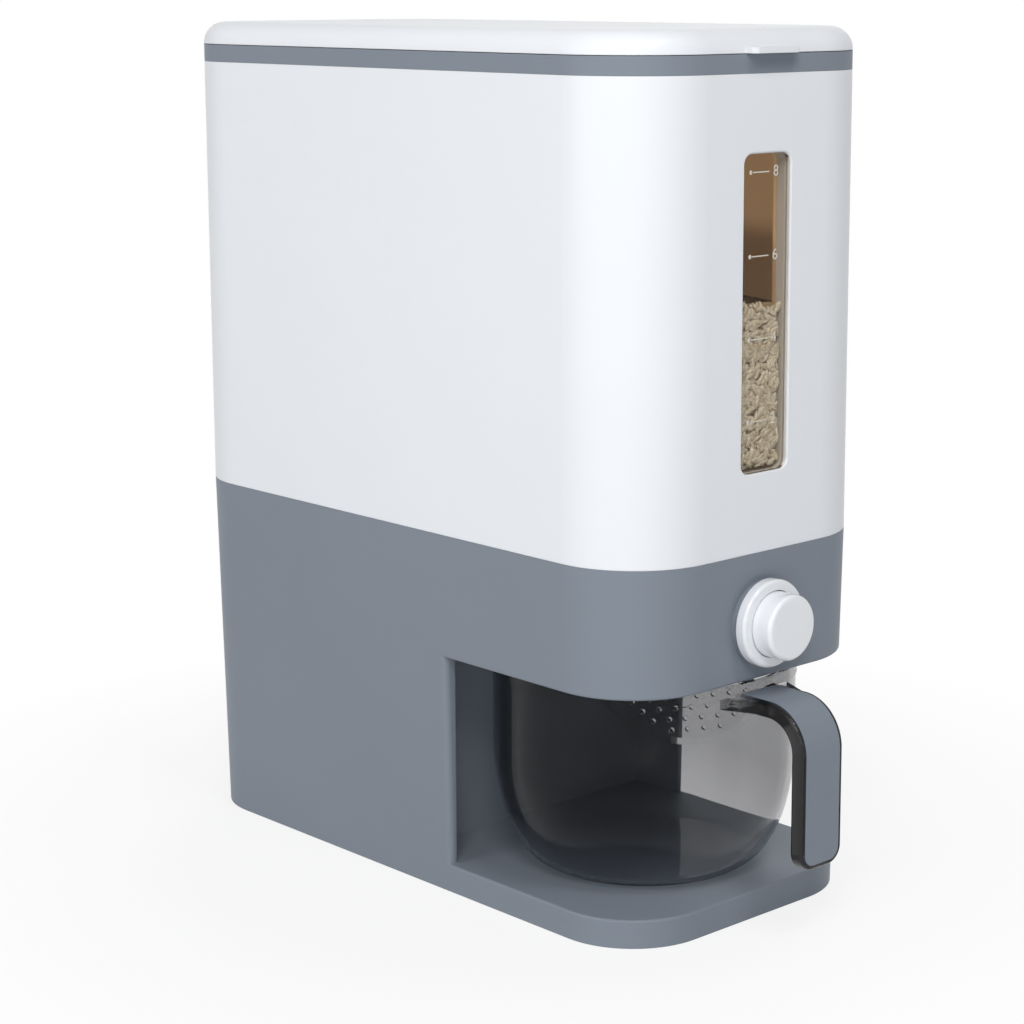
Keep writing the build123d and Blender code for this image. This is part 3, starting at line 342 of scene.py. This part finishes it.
def clear(name, tint, roughness, coat):
    """Thin clear plastic that bends light only a little, and lets lamps light what is behind it."""
    look = new_look(name)
    slow = noise(look, CLEAR_TINT_WAVES)
    feed(look, shade(look, slow, scaled(tint, 1 - CLEAR_VARY), tint), "Base Color")
    haze = noise(look, HAZE_WAVES, detail=3.0)
    feed(look, spread(look, haze, roughness * (1 - HAZE_VARY), roughness * (1 + HAZE_VARY)), "Roughness")
    set_values(look.shader, {"Transmission Weight": 1.0, "IOR": CLEAR_IOR})
    set_values(look.shader, {"Coat Weight": coat, "Coat Roughness": 0.03})
    rays = look.tree.nodes.new("ShaderNodeLightPath").outputs
    lighting = calculate(look.tree, "MAXIMUM", rays["Is Shadow Ray"], rays["Is Diffuse Ray"])
    through = look.tree.nodes.new("ShaderNodeBsdfTransparent")
    set_values(through, {"Color": (*CLEAR_SHADOW, 1)})
    mix(look.tree, lighting, look.shader.outputs["BSDF"], through.outputs["BSDF"], look.output)
    return look


def smoky(name):
    """Smoky clear plastic that darkens with its thickness, paler near the foot as painted light on the shade
    seen through it, and dark along the handle.
    """
    look = clear(name, SMOKE_BOWL, roughness=0.02, coat=0.0)
    place = split(look)
    foot_light_share = spread(look, place["Z"], NOISE_LOW, NOISE_HIGH, FOOT_PALE_Z, FOOT_SMOKY_Z)
    blend = look.tree.nodes.new("ShaderNodeMixRGB")
    handle = spread(look, place["Y"], 0.0, 1.0, HANDLE_CLEAR_Y, HANDLE_DARK_Y)
    look.tree.links.new(handle, blend.inputs["Fac"])
    look.tree.links.new(shade(look, foot_light_share, SMOKE_FOOT_PAINTED_LIGHT, SMOKE_BOWL), blend.inputs["Color1"])
    set_values(blend, {"Color2": (*SMOKE_HANDLE, 1)})
    feed(look, blend.outputs["Color"], "Base Color")
    feed(look, spread(look, place["Y"], 0.0, HANDLE_COAT, HANDLE_CLEAR_Y, HANDLE_DARK_Y), "Coat Weight")
    soak = look.tree.nodes.new("ShaderNodeVolumeAbsorption")
    set_values(soak, {"Color": (*SMOKE, 1), "Density": SMOKE_DENSITY})
    look.tree.links.new(soak.outputs["Volume"], look.output.inputs["Volume"])
    return look


def metal(name, colour):
    """Drawn steel with fine scratches."""
    look = new_look(name)
    streak = noise(look, SCRATCH_WAVES, detail=4.0, roughness=0.7)
    feed(look, shade(look, streak, scaled(colour, 1 - STEEL_VARY), colour), "Base Color")
    feed(look, spread(look, streak, *STEEL_ROUGHNESS), "Roughness")
    set_values(look.shader, {"Metallic": 1.0})
    bump(look, streak, strength=0.1, distance=SCRATCH_DEPTH)
    return look


def grainy(name, dark, light):
    """Rice: each grain a little different, chalky and slightly waxy."""
    look = new_look(name)
    feed(look, shade(look, noise(look, RICE_TINT_WAVES), dark, light), "Base Color")
    feed(look, spread(look, noise(look, RICE_GLOSS_WAVES, detail=3.0), *RICE_ROUGHNESS), "Roughness")
    bump(look, noise(look, RICE_RELIEF_WAVES, detail=3.0), strength=0.3, distance=RICE_RELIEF)
    return look


def paper(name, colour):
    """Floor that is white to the eye far from the object and keeps its shadow close by."""
    look = new_look(name)
    slow = noise(look, FLOOR_WAVES, detail=3.0)
    feed(look, shade(look, slow, scaled(colour, 1 - FLOOR_VARY), colour), "Base Color")
    set_values(look.shader, {"Roughness": 0.8, "Specular IOR Level": 0.1})
    glow = look.tree.nodes.new("ShaderNodeEmission")
    set_values(glow, {"Color": (1, 1, 1, 1), "Strength": 1.0})
    reach = look.tree.nodes.new("ShaderNodeVectorMath")
    reach.operation = "LENGTH"
    look.tree.links.new(look.place, reach.inputs[0])
    far = spread(look, reach.outputs["Value"], FLOOR_WHITE_NEAR, 1.0, FLOOR_SHADE_NEAR, FLOOR_SHADE_FAR)
    white = calculate(look.tree, "MULTIPLY", far, seen_rays(look.tree))
    mix(look.tree, white, look.shader.outputs["BSDF"], glow.outputs["Emission"], look.output)
    return look


finishes = {
    "white_plastic": moulded("white_plastic", WHITE, roughness=0.32, vary=0.008, coat=0.04, gloss=0.2),
    "grey_plastic": moulded("grey_plastic", GREY, roughness=0.44, vary=0.02, grain=GRAIN_SATIN, gloss=0.14),
    "liner_plastic": moulded("liner_plastic", LINER, roughness=0.40, vary=0.03, grain=GRAIN_SATIN),
    "seal_silicone": moulded("seal_silicone", SILICONE, roughness=0.60, vary=0.04, grain=GRAIN_SOFT),
    "pad_rubber": moulded("pad_rubber", RUBBER, roughness=0.75, vary=0.15, grain=GRAIN_COARSE),
    # The hopper wall glows by emission: painted light, not a lamp
    "hopper_plastic": painted_glow_wall("hopper_plastic", TEA),
    "smoky_clear": smoky("smoky_clear"),
    "strainer_clear": clear("strainer_clear", STRAINER, roughness=0.05, coat=0.1),
    "window_tint": clear("window_tint", PANE, roughness=0.02, coat=0.0),
    "screw_steel": metal("screw_steel", STEEL),
}
button_gloss = moulded("button_gloss", WHITE, roughness=0.18, vary=0.006, coat=0.6)
rice_grain = grainy("rice_grain", RICE_DEEP, RICE_PALE)
shaded_rice_bed = grainy("shaded_rice_bed", SHADED_BED_DEEP, SHADED_BED_PALE)
pale_ink = moulded("pale_ink", INK, roughness=0.55, vary=0.04)
for subpart in frame["record"]["subparts"]:
    mesh = nodes[subpart["node"]].data
    mesh.materials.clear()
    mesh.materials.append(finishes[subpart["material_slot"]].material)
for name in ("button_cap", "button_bezel"):
    nodes[name].data.materials[0] = button_gloss.material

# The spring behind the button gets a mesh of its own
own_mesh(nodes["return_spring"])


def add_mesh(mesh, look, smooth=True):
    """New piece that stays with the cabinet and has the name of its mesh."""
    mesh.materials.clear()
    mesh.materials.append(look.material)
    mesh.polygons.foreach_set("use_smooth", [smooth] * len(mesh.polygons))
    mesh.update()
    piece = bpy.data.objects.new(mesh.name, mesh)
    bpy.context.scene.collection.objects.link(piece)
    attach(piece, "cabinet")


def mesh_from(name, points, faces):
    """Mesh from lists of points and faces."""
    mesh = bpy.data.meshes.new(name)
    mesh.from_pydata([tuple(point) for point in points], [], [tuple(face) for face in faces])
    return mesh


# Marks on the window: a dot, a line and a plain number at each level
window_low, window_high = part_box("window_pane")
ink_back = window_low.y - INK_DEPTH / 4
ink_front = ink_back - INK_DEPTH


def tick_outlines(height):
    """Outlines of a dot and of the line beside it, in x and z."""
    dot = []
    for step in range(TICK_DOT_STEPS):
        turn = 2 * math.pi * step / TICK_DOT_STEPS
        x = TICK_DOT_X + TICK_DOT_RADIUS * math.cos(turn)
        dot.append((x, height + TICK_DOT_RADIUS * math.sin(turn)))
    line_start = TICK_DOT_X + TICK_DOT_RADIUS / 2
    line_end = TICK_DOT_X + TICK_LINE_LENGTH
    line_low = height - TICK_LINE_WIDTH / 2
    line_high = height + TICK_LINE_WIDTH / 2
    line = [(line_start, line_low), (line_end, line_low), (line_end, line_high), (line_start, line_high)]
    return dot, line


def ticks_mesh(name):
    """Thin solid dots and lines, one pair at each level."""
    points = []
    faces = []
    for height in TICK_LEVELS.values():
        for outline in tick_outlines(height):
            first = len(points)
            count = len(outline)
            points.extend((x, ink_front, z) for x, z in outline)
            points.extend((x, ink_back, z) for x, z in outline)
            faces.append(range(first, first + count))
            faces.append(range(first + 2 * count - 1, first + count - 1, -1))
            for step in range(count):
                after = (step + 1) % count
                faces.append((first + after, first + step, first + count + step, first + count + after))
    return mesh_from(name, points, faces)


def number_mesh(name, number, height):
    """Thin solid number at a level."""
    curve = bpy.data.curves.new("number", "FONT")
    curve.body = number
    curve.size = TICK_NUMBER_HEIGHT / FONT_HEIGHT_SHARE
    curve.extrude = INK_DEPTH / 2
    curve.align_y = "CENTER"
    text = bpy.data.objects.new("text", curve)
    bpy.context.scene.collection.objects.link(text)
    text.rotation_euler = (math.pi / 2, 0, 0)
    text.location = (TICK_NUMBER_X, (ink_front + ink_back) / 2, height)
    bpy.context.view_layer.update()
    mesh = bpy.data.meshes.new_from_object(text.evaluated_get(bpy.context.evaluated_depsgraph_get()))
    mesh.transform(text.matrix_world)
    mesh.name = name
    bpy.data.objects.remove(text)
    return mesh


add_mesh(ticks_mesh("window_ticks"), pale_ink, smooth=False)
for number, height in TICK_LEVELS.items():
    add_mesh(number_mesh("window_number_" + number, number, height), pale_ink, smooth=False)

# Rice in the hopper
random = np.random.default_rng(SEED)
room_x = HOPPER_HALF_WIDTH - RICE_GAP
room_y = HOPPER_HALF_DEPTH - RICE_GAP


def rice_top(x, y):
    """Height of the rice: low swells, and a dip across the hopper where rice has run out below."""
    across = SWELL_SHARE * np.sin(SWELL_ACROSS * x + SWELL_ACROSS_SHIFT) * np.cos(SWELL_ACROSS_FADE * y)
    along = SWELL_SHARE * np.sin(SWELL_ALONG * y + SWELL_ALONG_SHIFT)
    swell = across + along - RIPPLE_SHARE * np.cos(SWELL_RIPPLE * x)
    away = (y - (OUTLET_REAR + OUTLET_FRONT) / 2) / RICE_DIP_REACH
    return RICE_LEVEL + RICE_SWELL * swell - RICE_DIP * np.exp(-away * away / 2)


def rice_floor(x, y):
    """Height of the sloping floor of the hopper."""
    rear = (y - OUTLET_REAR) * REAR_SLOPE
    front = (OUTLET_FRONT - y) * FRONT_SLOPE
    side = (abs(x) - OUTLET_HALF_WIDTH) * SIDE_SLOPE
    return OUTLET_HEIGHT + max(rear, front, side)


def rounded_outline(half_x, half_y, radius, steps=10):
    """Points round a rectangle with round corners."""
    points = []
    for corner, (side_x, side_y) in enumerate(((1, 1), (-1, 1), (-1, -1), (1, -1))):
        for step in range(steps + 1):
            angle = math.pi / 2 * (corner + step / steps)
            x = side_x * (half_x - radius) + radius * math.cos(angle)
            y = side_y * (half_y - radius) + radius * math.sin(angle)
            points.append((x, y))
    return points


def fill_mesh(name):
    """The rice as one body: its sides up from the floor of the hopper, and its top in rings."""
    outline = rounded_outline(room_x, room_y, HOPPER_CORNER)
    count = len(outline)
    points = [(x, y, rice_floor(x, y) + RICE_GAP) for x, y in outline]
    for ring in range(FILL_RINGS, -1, -1):
        share = ring / FILL_RINGS
        points.extend((x * share, y * share, rice_top(x * share, y * share)) for x, y in outline)
    faces = []
    for ring in range(FILL_RINGS + 1):
        for step in range(count):
            here = ring * count + step
            after = ring * count + (step + 1) % count
            faces.append((here, after, after + count, here + count))
    return mesh_from(name, points, faces)


def grain_shape(segments=7, rings=5):
    """Points and faces of one grain along x, pointed at its ends."""
    points = [(-0.5, 0, 0)]
    for ring in range(1, rings + 1):
        along = -0.5 + ring / (rings + 1)
        radius = math.sqrt(0.25 - along * along)
        for turn in range(segments):
            angle = 2 * math.pi * turn / segments
            points.append((along, radius * math.cos(angle), radius * math.sin(angle) * GRAIN_FLATNESS))
    points.append((0.5, 0, 0))
    faces = []
    for turn in range(segments):
        after = (turn + 1) % segments
        faces.append((0, 1 + after, 1 + turn))
        for ring in range(rings - 1):
            here = 1 + ring * segments
            faces.append((here + turn, here + after, here + segments + after, here + segments + turn))
        last = 1 + (rings - 1) * segments
        faces.append((last + turn, last + after, 1 + rings * segments))
    return np.array(points), faces


def scatter(name, places, headings):
    """Many grains, each at a place with its length along a heading."""
    shape, shape_faces = grain_shape()
    points = []
    faces = []
    for index, (place, heading) in enumerate(zip(places, headings)):
        along = heading / np.linalg.norm(heading)
        side = np.cross(along, random.normal(size=3))
        side /= np.linalg.norm(side)
        across = np.cross(along, side)
        size = random.uniform(2 - GRAIN_LARGEST, GRAIN_LARGEST)
        grain = (
            np.outer(shape[:, 0] * GRAIN_LENGTH * size, along)
            + np.outer(shape[:, 1] * GRAIN_WIDTH * size, side)
            + np.outer(shape[:, 2] * GRAIN_WIDTH * size, across)
        )
        points.append(grain + place)
        faces.extend([tuple(v + index * len(shape) for v in face) for face in shape_faces])
    return mesh_from(name, np.concatenate(points), faces)


def in_corner(x, y):
    """Whether a place lies too far out in a round corner of the hopper."""
    corner_x = abs(x) - (room_x - HOPPER_CORNER)
    corner_y = abs(y) - (room_y - HOPPER_CORNER)
    return min(corner_x, corner_y) > 0 and math.hypot(corner_x, corner_y) > HOPPER_CORNER - GRAIN_LENGTH


# The body of rice below the grains is darker: painted shade between the grains
add_mesh(fill_mesh("rice_fill"), shaded_rice_bed)

# Grains lie close behind the window and on top of the rice
sleeve_low, sleeve_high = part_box("window_sleeve")
pane_back = window_high.y
opening_half = (sleeve_high.x - sleeve_low.x) / 2 - WINDOW_LAP
opening_floor = sleeve_low.z + WINDOW_LAP
grain_reach = GRAIN_LENGTH * GRAIN_LARGEST / 2
places = []
headings = []
while len(places) < WINDOW_GRAINS:
    x = opening_half * math.sin(random.uniform(-math.pi / 2, math.pi / 2))
    z = random.uniform(opening_floor, RICE_LEVEL + RICE_SWELL)
    angle = random.uniform(0, math.pi)
    reach_x = GRAIN_WIDTH / 2 + grain_reach * abs(math.cos(angle))
    reach_z = GRAIN_WIDTH / 2 + grain_reach * math.sin(angle)
    top = rice_top(x, pane_back) + RAGGED_SHARE * RICE_SWELL * math.sin(RAGGED_WAVES * x)
    if abs(x) + reach_x < opening_half and opening_floor + reach_z < z < top:
        places.append((x, pane_back + GRAIN_WIDTH * random.choice(WINDOW_LAYERS), z))
        headings.append((math.cos(angle), random.normal() * WINDOW_TILT, math.sin(angle)))
while len(places) < WINDOW_GRAINS + TOP_GRAINS:
    x = random.uniform(GRAIN_LENGTH - room_x, room_x - GRAIN_LENGTH)
    y = random.uniform(GRAIN_LENGTH - room_y, room_y - GRAIN_LENGTH)
    if not in_corner(x, y):
        angle = random.uniform(0, math.pi)
        places.append((x, y, rice_top(x, y) + GRAIN_WIDTH * random.uniform(*TOP_LIFTS)))
        headings.append((math.cos(angle), math.sin(angle), random.normal() * TOP_TILT))
add_mesh(scatter("rice_grains", np.array(places), np.array(headings)), rice_grain)

# Camera
camera_data = bpy.data.cameras.new("camera")
camera_data.sensor_width = SENSOR
camera_data.sensor_fit = "HORIZONTAL"
camera_data.lens = CAMERA_FOCUS_PX * SENSOR / IMAGE_PX
camera_data.shift_x = (IMAGE_PX / 2 - CAMERA_MIDDLE_PX[0]) / IMAGE_PX
camera_data.shift_y = (CAMERA_MIDDLE_PX[1] - IMAGE_PX / 2) / IMAGE_PX
camera_data.clip_end = CAMERA_REACH
camera = bpy.data.objects.new("camera", camera_data)
camera.location = CAMERA_PLACE
camera.rotation_euler = (math.pi / 2 - CAMERA_PITCH, 0, CAMERA_AZIMUTH)
bpy.context.scene.collection.objects.link(camera)
bpy.context.scene.camera = camera

# Floor
corner_signs = ((-1, -1), (1, -1), (1, 1), (-1, 1))
floor_points = [(x * FLOOR_HALF_SIZE, y * FLOOR_HALF_SIZE, -FLOOR_DROP) for x, y in corner_signs]
floor = bpy.data.objects.new("floor", mesh_from("floor", floor_points, [range(4)]))
floor.data.materials.append(paper("floor", FLOOR).material)
bpy.context.scene.collection.objects.link(floor)


def softbox(name, azimuth, elevation, distance, size, power, mirrored=True):
    """Soft lamp at angles in degrees, hidden from the camera; unless mirrored, from gloss and glass too."""
    turned = math.radians(azimuth)
    raised = math.radians(elevation)
    level = math.cos(raised)
    away = Vector((math.sin(turned) * level, -math.cos(turned) * level, math.sin(raised)))
    lamp = bpy.data.lights.new(name, "AREA")
    lamp.shape = "RECTANGLE"
    lamp.size, lamp.size_y = size
    lamp.energy = power
    holder = bpy.data.objects.new(name, lamp)
    holder.location = LAMP_TARGET + away * distance
    holder.rotation_euler = (-away).to_track_quat("-Z", "Y").to_euler()
    holder.visible_camera = False
    holder.visible_glossy = mirrored
    holder.visible_transmission = mirrored
    bpy.context.scene.collection.objects.link(holder)


softbox("key_softbox", azimuth=-43, elevation=40, distance=2.2, size=(0.8, 0.8), power=19.8)
softbox("low_softbox", azimuth=-43, elevation=10, distance=2.2, size=(1.0, 0.6), power=4.5)
softbox("left_softbox", azimuth=-95, elevation=15, distance=2.2, size=(1.2, 1.2), power=13)
softbox("top_softbox", azimuth=-10, elevation=57, distance=2.0, size=(0.4, 0.4), power=8.5)
softbox("rear_softbox", azimuth=130, elevation=12, distance=2.2, size=(1.4, 1.0), power=26, mirrored=False)

# Background: a plain light on the object, and white to the eye
world = bpy.data.worlds.new("world")
bpy.context.scene.world = world
world.use_nodes = True
tree = world.node_tree
tree.nodes.clear()
output = tree.nodes.new("ShaderNodeOutputWorld")
lit = tree.nodes.new("ShaderNodeBackground")
set_values(lit, {"Color": (*WORLD_TINT, 1), "Strength": WORLD_LIGHT})
seen = tree.nodes.new("ShaderNodeBackground")
set_values(seen, {"Color": (1, 1, 1, 1), "Strength": 1.0})
mix(tree, seen_rays(tree), lit.outputs["Background"], seen.outputs["Background"], output)

bpy.context.scene.view_settings.view_transform = "Standard"
